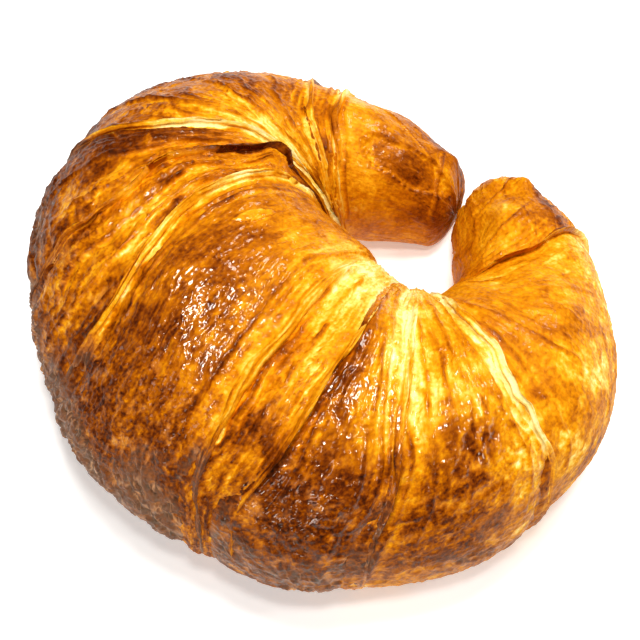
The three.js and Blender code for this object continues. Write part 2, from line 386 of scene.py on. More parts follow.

# Where the oven browned or spared the crust, and where shade is painted into the valley between the
# back
# strap and the back end: turn, or "" for any, section, degrees, reach in sections and in degrees, and
# change of brownness.
BROWNING_AND_SHADE_SPOTS = [
    ("", 6.6, 70, 0.5, 26, 0.14),
    ("", 6.9, 40, 0.6, 22, 0.2),
    ("", 6.3, 30, 0.35, 25, 0.14),
    ("", 6.3, 98, 0.35, 16, 0.1),
    ("", 5.6, 25, 0.6, 25, 0.16),
    ("", 4.2, 35, 1.0, 30, 0.24),
    ("", 3.7, 72, 0.5, 26, 0.26),
    ("", 4.9, 62, 0.3, 25, 0.24),
    ("", 8.05, 42, 0.4, 26, 0.37),
    ("", 8.0, 20, 0.4, 16, 0.14),
    ("", 7.95, 92, 0.2, 20, 0.26),
    ("", 8.7, 36, 0.45, 22, 0.32),
    ("", 8.6, 10, 0.5, 14, 0.2),
    ("", 9.0, 58, 0.2, 11, 0.3),
    ("right_end", 12.2, 100, 0.16, 9, -0.24),
    ("right_end", 12.5, 126, 0.14, 12, -0.14),
    ("right_end", 11.9, 92, 0.1, 8, 0.14),
    ("right_end", 12.9, 58, 0.35, 8, 0.3),
    ("right_end", 12.1, 64, 0.35, 8, 0.3),
    ("right_end", 11.8, 54, 0.2, 8, 0.3),
    ("right_end", 12.8, 114, 0.12, 14, 0.14),
    ("back_end", 2.5, 96, 0.3, 26, -0.05),
    ("front", 8.0, 98, 0.2, 16, 0.09),
    ("back_end", 0.66, 150, 0.5, 24, 0.22),
    ("back_end", 0.5, 42, 0.3, 9, 0.3),
    ("back_end", 1.1, 50, 0.5, 9, 0.3),
    ("back_end", 0.6, 88, 0.3, 12, -0.16),
    ("", 3.1, 100, 0.2, 30, 0.1),
    ("", 1.4, 105, 0.5, 26, 0.14),
    ("", 2.4, 94, 0.3, 30, -0.06),
    # painted shade in the valley between the back strap and the back end
    ("", 2.86, 95, 0.1, 14, 0.28),
    ("", 3.15, 118, 0.12, 10, 0.28),
    ("", 3.6, 141, 0.15, 8, 0.24),
    ("", 6.4, 118, 0.5, 14, -0.08),
    ("", 6.6, 138, 0.4, 14, -0.18),
    ("", 7.0, 128, 0.6, 20, -0.14),
    ("", 7.3, 116, 0.5, 22, -0.06),
    ("", 8.3, 105, 0.25, 40, -0.26),
    ("back", 4.2, 106, 0.35, 20, -0.24),
    ("back", 4.1, 128, 0.5, 20, -0.25),
    ("", 9.3, 70, 0.12, 40, -0.1),
    ("", 11.5, 128, 0.4, 20, -0.16),
    ("", 11.2, 24, 0.9, 24, -0.22),
    ("shoulder", 4.3, 112, 0.4, 14, -0.2),
    ("flap", 4.5, 116, 0.3, 14, 0.06),
    ("", 6.2, 100, 0.4, 20, 0.06),
    ("", 8.85, 96, 0.3, 14, 0.05),
]

# Plates of crust that stand out or have flaked off: turn, section, degrees, length and width in mm,
# lean in degrees, height in mm, change of bake and raggedness.
PLATES = [
    ("back_end", 1.35, 108, 27, 10, 4, 0.9, 0.1, 0.7),
    ("middle", 5.98, 108, 3.2, 12, 10, -0.35, -0.2, 1.0),
    ("front", 8.12, 40, 6, 9, 20, -0.35, -0.2, 2.0),
    ("front", 8.16, 25, 8, 9, 0, -0.35, -0.18, 2.0),
    ("front_right", 8.9, 38, 12, 14, 30, -0.3, 0.1, 2.2),
]

# Torn corners that stand up: turn, section, degrees, reach in sections and in degrees, height in mm.
CORNERS = [
    ("flap", 4.1, 121, 0.35, 8, 1.0),
    ("right_end", 12.78, 70, 0.22, 10, 2.8),
    ("right_end", 12.0, 60, 0.3, 12, 1.8),
    ("right_end", 13.2, 92, 0.25, 10, 1.4),
    ("back_end", 0.5, 60, 0.25, 12, 1.8),
    ("front_right", 9.4, 38, 0.12, 6, 1.2),
]

# The most blistered and glossy places: turn, or "" for any, section, degrees, reach in sections and in
# degrees, and how much is added there.
GLAZED_SPOTS = [
    ("", 6.8, 82, 0.6, 26, 0.6),
    ("", 8.06, 74, 0.28, 24, 1.0),
    ("", 9.02, 58, 0.2, 11, 2.8),
    ("", 5.6, 75, 0.4, 30, 0.3),
]


def spots(listed, turn, t, degrees):
    """Sum of what the listed places of one turn add."""
    total = 0
    for name, section, angle, reach_t, reach_a, change in listed:
        if name not in ("", TURN_NAMES[turn]):
            continue
        away = ((t - section) / reach_t) ** 2 + ((degrees - angle) / reach_a) ** 2
        total = total + change * np.exp(-away)
    return total


# The turns of dough


def has_lip(edge, turn):
    """Whether the turn lies on top at that edge, rather than running on under its neighbour."""
    nearer_middle = edge if edge >= MIDDLE_TURN else edge + 1
    on_top = nearer_middle if EDGES[edge][4] > 0 else 2 * edge + 1 - nearer_middle
    return on_top == turn


def row_shares(turn):
    """Shares across a turn for its rows, finer towards a rounded tip, and the length of its crown."""
    def length_at(angle):
        back = edge_at(EDGES[turn - 1], angle) if turn > 0 else 0.0
        front = edge_at(EDGES[turn], angle) if turn < len(EDGES) else float(LAST)
        ts = np.linspace(back, front, 200)
        line = surface_point(ts, np.full_like(ts, angle), 0)
        return np.sum(np.linalg.norm(np.diff(line, axis=0), axis=1))

    length = length_at(math.pi / 2)
    count = int(max(length / GRAIN, length_at(math.radians(35)) / OUTER_GRAIN)) + 12
    f = np.linspace(0, 1, count)
    back = EDGES[turn - 1][2] if turn > 0 else 0.0
    front = EDGES[turn][2] if turn < len(EDGES) else float(LAST)
    if turn == 0:
        rounding = TIP_ROUND_BACK / (front - back)
        tip = rounding * (1 - np.cos(np.linspace(0, math.pi / 2, TIP_ROWS)[:-1]))
        f = np.concatenate([tip, f[f >= rounding]])
    if turn == len(EDGES):
        rounding = TIP_ROUND_RIGHT / (front - back)
        tip = 1 - rounding * (1 - np.cos(np.linspace(math.pi / 2, 0, TIP_ROWS)))
        f = np.concatenate([f[f < 1 - rounding], tip])
    return f, length


def column_angles(turn):
    """Angles round the section, evenly spaced in length over the crust and wider on the flat base."""
    back = EDGES[turn - 1][2] if turn > 0 else 0.0
    front = EDGES[turn][2] if turn < len(EDGES) else float(LAST)
    fine = np.radians(np.linspace(BASE_END - 360, BASE_START, 800))
    ring = surface_point(np.full_like(fine, (back + front) / 2), fine, 0)
    walked = np.concatenate([[0], np.cumsum(np.linalg.norm(np.diff(ring, axis=0), axis=1))])
    count = int(walked[-1] / GRAIN)
    over = np.interp(np.linspace(0, walked[-1], count), walked, fine)
    under = np.radians(np.linspace(BASE_START, BASE_END, BASE_COLUMNS)[1:-1])
    return np.concatenate([over, under])


def unit(v):
    return v / (np.linalg.norm(v, axis=-1, keepdims=True) + 1e-12)


def sheets(value, rough):
    """Thin layers that end in crisp edges: relief, nearness to a rim and to a foot, and level."""
    value = value + rough
    step = value - np.floor(value)
    relief = smoothstep(0, 0.14, step) - step
    rim = bell(step - 0.14, 0.1)
    foot = smoothstep(0.8, 0.98, step)
    level = TABLE[(np.floor(value).astype(np.int64) * 131 + 57) & TABLE_SIZE - 1]
    return relief, rim, foot, level


def plates(turn, t, degrees, per_mm, girth_mm, rough):
    """Relief of the raised or sunken plates of crust of one turn, with their rims, feet and bake."""
    relief, rim, foot, browning_and_shade = 0, 0, 0, 0
    for name, section, angle, length, width, lean, height, browner, ragged in PLATES:
        if name != TURN_NAMES[turn]:
            continue
        column = np.argmin(np.abs(degrees[0] - angle))
        ahead = (t - section) / per_mm[column]
        aside = (degrees - angle) * girth_mm[column]
        turned = math.radians(lean)
        u = (ahead * math.cos(turned) + aside * math.sin(turned)) / (length / 2)
        v = (aside * math.cos(turned) - ahead * math.sin(turned)) / (width / 2)
        away = np.sqrt(u**2 + v**2) + ragged * rough
        inside = smoothstep(1.06, 0.94, away)
        relief = relief + height * inside
        rim = rim + bell(away - 0.92, 0.06) * (height > 0)
        foot = foot + bell(away - 1.08, 0.06)
        browning_and_shade = browning_and_shade + browner * inside
    return relief, rim, foot, browning_and_shade


def folded(turn, f, degrees, across_mm, q):
    """Relief of one turn's long folds, how dark the painted shade in their creases is and how pale
    their ridges.
    """
    relief, crease, ridge = 0, 0, 0
    for n, (name, share_from, share_to, start, end, depth, paleness, breadth) in enumerate(FOLDS):
        if name != TURN_NAMES[turn]:
            continue
        middle = share_from + (share_to - share_from) * (degrees - start) / (end - start)
        bend = 0.9 * noise(place(q / 11, n, 0), 101) + 0.3 * noise(place(q / 3, n, 0), 102)
        away = (f - middle) * across_mm + bend
        shown = smoothstep(start - 8, start + 6, degrees) * smoothstep(end + 8, end - 6, degrees)
        shown = shown * (0.65 + 0.35 * noise(place(q / 6, n, 0), 103))
        line = bell(away, 0.5) * shown
        bank = bell(away - 0.55 - 0.8 * breadth, 0.8 * breadth) * shown
        relief = relief - depth * line + 0.6 * depth * bank
        crease = crease + line
        ridge = ridge + paleness * bank
    return relief, crease, ridge


def warped(p):
    """How far the flow wanders at the points p."""
    return fbm(p / 8, 3, 2)[..., None] * WARP


def smooth_round(values, width):
    """Moving average along the columns, which run round the section."""
    padded = np.concatenate([values[-width:], values, values[:width]])
    total = np.cumsum(np.concatenate([np.zeros_like(padded[:1]), padded]), axis=0)
    size = 2 * width + 1
    return (total[size:] - total[:-size]) / size


def turn_grid(turn):
    """Grid of points of one turn, from its back edge to its front edge, and how its crust looks."""
    look = TURNS[TURN_NAMES[turn]]
    shares, length = row_shares(turn)
    angles = column_angles(turn)
    places = edges_at(angles)
    low_start, low_end = places[turn], places[turn + 1]
    lip_back = turn > 0 and has_lip(turn - 1, turn)
    lip_front = turn < len(EDGES) and has_lip(turn, turn)
    back_look = EDGE_LOOKS[EDGES[turn - 1][0]] if turn > 0 else None
    front_look = EDGE_LOOKS[EDGES[turn][0]] if turn < len(EDGES) else None

    # how many sections a millimetre is, at each angle
    ahead = surface_point((low_start + low_end) / 2 + NUDGE, angles, 0)
    behind = surface_point((low_start + low_end) / 2 - NUDGE, angles, 0)
    per_mm = 2 * NUDGE / np.maximum(np.linalg.norm(ahead - behind, axis=1), 2 * NUDGE * LEAST_SECTION)
    q_row = np.concatenate([[0], np.cumsum(np.linalg.norm(np.diff(ahead, axis=0), axis=1))])
    rim_row = 1 - smoothstep(10, 50, np.degrees(angles))
    girth_mm = np.gradient(q_row) / np.gradient(np.degrees(angles))

    def ragged(edge):
        at = place(q_row, edge * 5.3, 0)
        rough = 1.1 * noise(at / 13, 31) + 0.45 * noise(at / 4.3, 32) + 0.25 * noise(at / 1.3, 33)
        return rough * (1 - 0.75 * rim_row)

    start, end = low_start, low_end
    if turn > 0:
        reach = 0.3 + back_look["ragged"] * ragged(turn - 1) if lip_back else UNDERLAP
        start = start - per_mm * reach
    if turn < len(EDGES):
        reach = 0.3 + front_look["ragged"] * ragged(turn) if lip_front else UNDERLAP
        end = end + per_mm * reach
    t = start + (end - start) * shares[:, None]
    t = np.clip(t, 0, LAST)
    phi = np.broadcast_to(angles, t.shape)
    degrees = np.degrees(phi)
    room = smoothstep(LEAST_TURN / 2, FULL_TURN, low_end - low_start)
    narrow = np.clip((low_end - low_start) / per_mm / length, 0.2, 1)
    f = (t - low_start) / (low_end - low_start)
    relief = room * relief_at(turn, np.clip(f, 0, 1))
    relief = relief + LUMP * (np.sin(5 * phi + 3.1 * t) + np.sin(4 * phi - 4.7 * t + 1))
    from_back = (t - low_start) / per_mm
    from_front = (low_end - t) / per_mm
    sides = []
    if turn > 0:
        sides.append((EDGES[turn - 1], back_look, lip_back, from_back, (t - start) / per_mm))
    if turn < len(EDGES):
        sides.append((EDGES[turn], front_look, lip_front, from_front, (end - t) / per_mm))
    low = smoothstep(50, 22, degrees)
    to_edge, to_cover, painted_lip_shadow = np.full_like(t, FAR), np.full_like(t, FAR), 0
    for edge, edge_look, lip, from_edge, from_lip in sides:
        if lip:
            to_edge = np.minimum(to_edge, np.abs(from_edge))
            sunk = (1 - edge_look["fill"] * room) * edge[4] + LIP_SINK
            relief = relief - low * sunk * bell(from_lip, SINK_REACH)
        else:
            to_cover = np.minimum(to_cover, np.abs(from_edge))
            raised = edge_look["fill"] * abs(edge[4]) * room
            relief = relief + raised * bell(from_edge, FILL_REACH) - SINK * np.maximum(0, -from_edge)
            # painted shadow of the covering lip: a dark band on this turn beside it
            painted_lip_shadow = painted_lip_shadow + edge_look["shade"] * bell(from_edge, edge_look["lip_shadow_width"])
    relief = relief + spots(CORNERS, turn, t, degrees)
    p = surface_point(t, phi, relief)
    f = np.clip(f, 0, 1)
    q = np.broadcast_to(q_row, t.shape)
    apart = TURN_APART * turn
    flow = place(f * length, q, apart)
    beyond_lip = np.array([1.0, 0, 0])
    if look["lengthwise"]:
        flow, beyond_lip = flow[..., [1, 0, 2]], np.array([0, 1.0, 0])

    top = smoothstep(15, 50, degrees) * smoothstep(165, 135, degrees)
    flank = 1 - smoothstep(14, 46, degrees)
    inner = smoothstep(105, 145, degrees)

    # Fibres along the dough are lines and folds, and thin torn layers are layer, thin and torn.
    # Beside an edge its layers show, and the outer rim is flaky with bark and crumple and may be dull
    # grey, with painted reflections on its crests.
    # Blisters are worms and domes, and low on the flank there are pale flecks, partly painted glints,
    # and dark specks.
    # Calm is what is left of the blisters and the fine colours towards the inner flank.
    warp = warped(p)
    wrapped = flow + warp
    fine = noise(p / 0.8, 67)
    lines = ridged(stretched(wrapped, 1.5, 15), 5, 2)
    folds = ridged(stretched(wrapped, 4.2, 30), 6, 2)
    spread = 2.4 * fbm(stretched(wrapped, 8, 30), 12, 3)
    layer, layer_rim, layer_foot, layer_level = sheets(spread, 0.1 * fine + 0.12 * noise(p / 2.2, 68))
    bark_value = 3.8 * fbm(place(flow[..., 0] / 9, q / 4.2, apart) + 0.5 * warp / 3, 51, 4)
    bark, bark_rim, bark_foot, bark_level = sheets(bark_value, 0.12 * fine)
    fold_relief, fold_crease, fold_ridge = folded(turn, f, degrees, (low_end - low_start) / per_mm, q)
    wander = 0.7 * noise(place(q / 12, flow[..., 0] / 12, apart), 97) + 0.12 * fine
    shown = smoothstep(-0.6, 0.2, noise(place(q / 9, 0, apart + 5), 98)) * (1 - 0.7 * low)

    def lines_beside(away, offset, reach):
        return np.cos(2 * np.pi * (away + wander - offset) / EDGE_LINE) * np.exp(-away / reach) * shown

    beside = np.where(to_edge < NEAR, lines_beside(to_edge, 0.7, 3.6), 0)
    covered = (to_cover < NEAR) & (f > 0) & (f < 1)
    beside = beside + 0.8 * np.where(covered, lines_beside(to_cover, 1.6, 3.2), 0)
    thin_value = 4.5 * fbm(stretched(wrapped, 6.5, 19), 14, 3)
    thin, thin_rim, thin_foot, _ = sheets(thin_value, 0.12 * fine)
    down, aside = 0.35 * f * length - 0.94 * q, 0.94 * f * length + 0.35 * q
    crumple = ridged(place(down / 8, aside / 2.7 + 1.1 * fbm(p / 5, 57, 2), apart), 55, 2)
    crest = smoothstep(0.35, 1.0, crumple)
    crumpled = flank * (0.15 + 0.85 * look["dull_rim_and_sheen"])
    # the dull grey rim low on the flank, whose crests carry painted reflections of the bright floor
    dull_sheen_zone = look["dull_rim_and_sheen"] * smoothstep(28, 5, degrees + 16 * noise(p / 10, 56) + 6 * noise(p / 3, 58))
    dull_sheen_by_edge = smoothstep(1.7, 0.9, to_edge + 0.6 * fine)
    dull_sheen_zone = np.maximum(dull_sheen_zone, 0.55 * look["dull_rim_and_sheen"] * smoothstep(52, 38, degrees) * dull_sheen_by_edge)
    worms = fbm(stretched(wrapped, 1.1, 4.6), 21, 2)
    rough = 0.1 * fine + 0.3 * noise(p / 5, 69)
    plate, plate_rim, plate_foot, plate_bake = plates(turn, t, degrees, per_mm, girth_mm, rough)
    domes = bubbles(stretched(wrapped, 1.6, 3.6), 23) + 0.4 * bubbles(p / 1.5, 29)
    glazed = spots(GLAZED_SPOTS, turn, t, degrees)
    blistered = (look["blister"] + glazed) * smoothstep(-0.5, 0.3, fbm(p / 10, 41, 2) + 0.2)
    wrinkle_value = ridged(stretched(wrapped, 2.6, 5) + 0.06 * fine[..., None], 111, 2)
    wrinkles = smoothstep(0.55, 1.15, wrinkle_value) - 0.25
    lower = smoothstep(72, 34, degrees)
    calm = 1 - 0.45 * smoothstep(76, 104, degrees)
    fleck_value = fbm(flow / np.array([1.3, 2.2, 1]) + 0.2 * warp, 121, 2)
    flecks_and_glints = lower * smoothstep(0.12, 0.5, fleck_value)
    specks = lower * smoothstep(-0.1, -0.45, fleck_value)
    torn_value = fbm(stretched(wrapped, 4, 10), 61, 3) + 0.08 * fine
    torn = look["sheets"] * smoothstep(0.3, 0.34, torn_value)
    present = smoothstep(-0.25, 0.25, noise(p / 14, 94) + 0.5 * look["crease"])
    crease_value = noise(stretched(wrapped, 4, 38) + 0.04 * fine[..., None], 95)
    branch_value = noise(stretched(wrapped, 2.4, 13), 96)
    creased = bell(crease_value, 0.13) * present + 0.6 * (bell(branch_value, 0.1) * (1 - present))
    creases = look["crease"] * creased * narrow

    # relief of the crust, in mm outwards
    detail = (
        0.2 * look["streak"] * lines * (0.4 + 0.6 * top) * narrow
        + 0.3 * folds * look["streak"] * top
        + 1.4 * SHEET * look["sheets"] * layer * (1 - 0.7 * flank)
        + blistered * calm * (0.6 + 0.4 * top) * (0.26 * worms + 0.2 * domes)
        + 0.55 * SHEET * look["sheets"] * thin
        + 0.5 * beside * narrow
        + crumpled * (0.4 * bark + 0.2 * crumple + 1.0 * crest)
        - 0.17 * wrinkles * (1 - flank)
        + plate
        + fold_relief
        + (0.12 + 0.1 * lower) * fbm(p / 0.95, 71, 2)
        + 0.2 * flecks_and_glints
        - SHEET * torn
        - 0.5 * creases
    )
    detail = detail * smoothstep(FLAT_FROM, RELIEF_FULL, np.sin(phi))
    detail = detail * smoothstep(0, 0.25, tip_share(t))

    across = np.gradient(p, axis=0)
    around = np.gradient(p, axis=1)
    normal = unit(np.cross(around, across))
    travel = unit(across)
    p = p + detail[..., None] * normal
    p[..., 2] = np.maximum(p[..., 2], 0)

    # how the crust looks, apart from the finest variation
    pale_here = 0
    if lip_back:
        burnt = smoothstep(0, 6, degrees - back_look["burnt"])
        from_lip = (t - start) / per_mm
        pale_here = pale_here + (1 - burnt) * back_look["pale"] * bell(from_lip, PALE_RIM)
        pale_here = pale_here - 0.5 * burnt * bell(from_lip, BURNT_RIM)
    if lip_front:
        pale_here = pale_here + front_look["pale"] * bell((end - t) / per_mm, PALE_RIM)
    pale_here = (1 - low) * pale_here * (0.4 + 1.1 * smoothstep(-0.4, 0.5, noise(p / 5, 85)))
    # the crust's brownness, with painted shade added beside covering lips, in creases and at the feet
    # of steps
    browning_and_shade = (
        look["browning_and_shade"]
        + look["rim"] * flank
        + look["inner"] * inner
        + look["back"] * (1 - f) ** 2
        + look["front"] * f**2
        + spots(BROWNING_AND_SHADE_SPOTS, turn, t, degrees)
        + plate_bake
        - 0.2 * plate_rim
        # painted shade at the feet of the plates and in the creases of the folds
        + 0.15 * plate_foot
        + 0.26 * fold_crease
        - 0.16 * fold_ridge
        - pale_here
        # the painted shadow of a covering lip
        + painted_lip_shadow
    )
    # the feet of the torn layers and of the bark, the sunk wrinkles and the creases are painted darker,
    # as painted shade
    browning_and_shade = browning_and_shade + calm * (
        0.07 * layer_level * look["sheets"]
        - 0.13 * look["sheets"] * layer_rim * (1 - flank)
        + 0.15 * look["sheets"] * layer_foot * (1 - flank)
        - 0.11 * look["sheets"] * thin_rim
        + 0.12 * look["sheets"] * thin_foot
        + 0.15 * wrinkles
        - 0.2 * beside * narrow
        - 0.18 * torn
        + 0.34 * creases
        + 0.1 * blistered * (domes + 0.5 * worms - 0.6)
        + 0.1 * flank * (bark_foot - bark_rim + 0.6 * bark_level)
        # the dull rim is darker in its gaps and paler on its crests, as painted reflections
        + dull_sheen_zone * (0.28 - 0.2 * crest)
        # pale flecks low on the flank, partly painted glints
        - 0.2 * flecks_and_glints
        + 0.12 * specks
    )
    shine = (look["gloss"] + glazed) * (0.65 + 0.35 * top) * (1 - 0.7 * torn) * (1 - 1.5 * pale_here)
    attributes = {
        "browning_and_shade": browning_and_shade,
        "glaze": np.clip(shine, 0, 1),
        # how much of the dull grey and of the painted reflections the shader mixes in
        "dull_and_sheen": np.clip(dull_sheen_zone * (0.55 + 0.45 * crest) + 0.3 * flecks_and_glints * look["dull_rim_and_sheen"], 0, 1),
        "mottle": lower * (1 - dull_sheen_zone) * (0.5 + 0.5 * look["blister"]),
    }

    # rows past the edges: a lip's face comes down into its neighbour, and every turn is closed inside
    def past(row, sign, edge_look, edge, lip):
        fade = smoothstep(FLAT_FROM, RELIEF_FULL, np.sin(angles))
        brink = p[row]
        soft_brink = smooth_round(brink, 5)
        out = unit(smooth_round(normal[row], 8))
        forward = unit(smooth_round(travel[row] * sign, 8))
        rows, shades, reaches = [], [], []
        if lip:
            left = 1 - edge_look["fill"] * room
            far_side = smoothstep(124, 140, np.degrees(angles))
            step = abs(EDGES[edge][4]) * left * relief_share(angles)
            drop = (step * (1 - 0.5 * far_side) + 0.9 - 0.5 * far_side) * fade
            at = place(q_row, 0, edge * 3.1)
            loose = smoothstep(0.4, -0.4, noise(at / 9, 91) + 0.9 - 1.8 * edge_look["loose"] + rim_row)
            for n in range(1, LIP_ROWS + 1):
                down = drop * (n / LIP_ROWS) ** 1.3
                rounded = LIP_ROUND * np.sqrt(1 - (1 - np.minimum(down / LIP_ROUND, 1)) ** 2)
                at[:, 1] = down / 0.5
                groove = noise(at / np.array([7, 1, 1]), 92)
                layers = noise(at * np.array([1 / 9, 2.2, 1]) + 5, 99)
                hollow = loose * smoothstep(0.5, 0.95, down) * (1.1 - 0.7 * bell(down - 1.7, 0.3))
                reach = rounded + (edge_look["slope"] + 0.9 * rim_row) * down
                reach = reach + (0.4 * groove - hollow) * fade
                share = min(1, n / 4)
                from_brink = brink + (soft_brink - brink) * share
                grid = from_brink + forward * (reach * fade)[:, None] - out * down[:, None]
                grid = grid + (0.12 * noise(grid / 0.9, 93) * fade * share)[:, None] * out
                rows.append(grid)
                # the hollow under a loose lip's face is painted darker, as painted shade
                shades.append(-0.16 * groove - 0.2 * layers + 0.12 * hollow)
                reaches.append(down + np.maximum(reach, 0))
        last = rows[-1] if rows else brink
        heart = last.mean(axis=0)
        for share in (0.1, 0.45):
            rows.append(last + (heart - last) * share)
            shades.append(np.zeros_like(angles))
            reaches.append(np.full_like(angles, 5.0))
        for grid in rows:
            grid[:, 2] = np.maximum(grid[:, 2], 0)
        return rows, shades, reaches, heart

    front_pole = p[-1].mean(axis=0)
    back_pole = p[0].mean(axis=0)
    before, after = ([], [], []), ([], [], [])
    if turn > 0:
        *before, back_pole = past(0, -1, back_look, turn - 1, lip_back)
    if turn < len(EDGES):
        *after, front_pole = past(-1, 1, front_look, turn, lip_front)

    def joined(head, values, tail):
        head = np.array(head[::-1]).reshape(-1, *values.shape[1:])
        tail = np.array(tail).reshape(-1, *values.shape[1:])
        return np.concatenate([head, values, tail])

    points = joined(before[0], p, after[0])
    flow_behind = [flow[0] - beyond_lip * reach[:, None] for reach in before[2]]
    flow_beyond = [flow[-1] + beyond_lip * reach[:, None] for reach in after[2]]
    back_browning_and_shade, front_browning_and_shade = smooth_round(browning_and_shade[0], 12), smooth_round(browning_and_shade[-1], 12)
    browning_and_shade_behind = [back_browning_and_shade + shade for shade in before[1]]
    browning_and_shade_beyond = [front_browning_and_shade + shade for shade in after[1]]
    attributes["browning_and_shade"] = joined(browning_and_shade_behind, browning_and_shade, browning_and_shade_beyond)
    for name in ("glaze", "dull_and_sheen", "mottle"):
        values = attributes[name]
        attributes[name] = joined([values[0]] * len(before[0]), values, [values[-1]] * len(after[0]))
    attributes["flow"] = joined(flow_behind, flow, flow_beyond)

    # the finest variation of the baking runs over the lips' faces as well
    along_flow = attributes["flow"] + warped(points)
    attributes["browning_and_shade"] = np.clip(
        attributes["browning_and_shade"]
        + 0.11 * fbm(points / 12, 81, 3)
        + 0.1 * fbm(points / 3.5, 82, 2)
        + 0.13 * look["streak"] * fbm(stretched(along_flow, 1.8, 18), 83, 3)
        + 0.06 * noise(points / 0.8, 67),
        0, MOST_BAKED,
    )
    if turn == 0:
        points = points[1:]
        attributes = {name: values[1:] for name, values in attributes.items()}
    if turn == len(EDGES):
        points = points[:-1]
        attributes = {name: values[:-1] for name, values in attributes.items()}
    return points, back_pole, front_pole, attributes


POLE_VALUE = 0.5  # of every attribute at a grid's poles, which are hidden but at the tips


def mesh_of(name, points, back_pole, front_pole, attributes):
    """Closed mesh of a grid of rings with a pole at each end, in metres."""
    rows, columns = points.shape[:2]
    vertices = np.concatenate([points.reshape(-1, 3), [back_pole, front_pole]]) * MM
    first, last = rows * columns, rows * columns + 1
    index = np.arange(rows * columns).reshape(rows, columns)
    beside = np.roll(index, -1, axis=1)
    quads = np.stack([index[:-1], index[1:], beside[1:], beside[:-1]], -1).reshape(-1, 4)
    back_fan = np.stack([np.full(columns, first), index[0], beside[0]], -1)
    front_fan = np.stack([np.full(columns, last), beside[-1], index[-1]], -1)
    loops = np.concatenate([quads.ravel(), back_fan.ravel(), front_fan.ravel()])
    sizes = np.concatenate([np.full(len(quads), 4), np.full(2 * columns, 3)])
    mesh = bpy.data.meshes.new(name)
    mesh.vertices.add(len(vertices))
    mesh.vertices.foreach_set("co", vertices.astype(np.float32).ravel())
    mesh.loops.add(len(loops))
    mesh.loops.foreach_set("vertex_index", loops.astype(np.int32))
    mesh.polygons.add(len(sizes))
    loop_starts = np.concatenate([[0], np.cumsum(sizes)[:-1]])
    mesh.polygons.foreach_set("loop_start", loop_starts.astype(np.int32))
    mesh.update(calc_edges=True)
    mesh.validate()
    mesh.polygons.foreach_set("use_smooth", np.ones(len(mesh.polygons), bool))
    for key, values in attributes.items():
        if key == "flow":
            flat = np.concatenate([values.reshape(-1, 3), np.zeros((2, 3))]) * MM
            layer = mesh.attributes.new(key, "FLOAT_VECTOR", "POINT")
            layer.data.foreach_set("vector", flat.astype(np.float32).ravel())
        else:
            flat = np.concatenate([values.ravel(), [POLE_VALUE, POLE_VALUE]])
            layer = mesh.attributes.new(key, "FLOAT", "POINT")
            layer.data.foreach_set("value", flat.astype(np.float32))
    piece = bpy.data.objects.new(name, mesh)
    bpy.context.scene.collection.objects.link(piece)
    return piece


# Materials


def srgb(red, green, blue):
    """Linear colour from the 0 to 255 values of a picture."""
    def linear(value):
        value /= 255
        return value / 12.92 if value <= 0.04045 else ((value + 0.055) / 1.055) ** 2.4
    return (linear(red), linear(green), linear(blue), 1)


CRUST_COLOURS = [
    (0.0, srgb(255, 240, 176)),
    (0.12, srgb(252, 216, 108)),
    (0.3, srgb(238, 168, 26)),
    (0.45, srgb(214, 136, 8)),
    (0.6, srgb(184, 106, 4)),
    (0.75, srgb(144, 74, 2)),
    (0.88, srgb(100, 42, 0)),
    (1.0, srgb(54, 20, 2)),
]


# pale grey of the dull rim and of the painted reflections on its crests and wavy lines
DULL_SHEEN_COLOUR = srgb(230, 196, 160)
SPECULAR_TINT = (1.0, 0.84, 0.55, 1)
PER_MM = 1000  # noise scale that makes a cell one millimetre, before any mapping
RIM_LINE_SCALE = (1.6, 6, 1)  # spacing, length and depth of the wavy lines of painted reflection on the dull rim, in mm
RIM_LINE_LEAN = math.radians(20)
RIM_LINE_THIN = 14


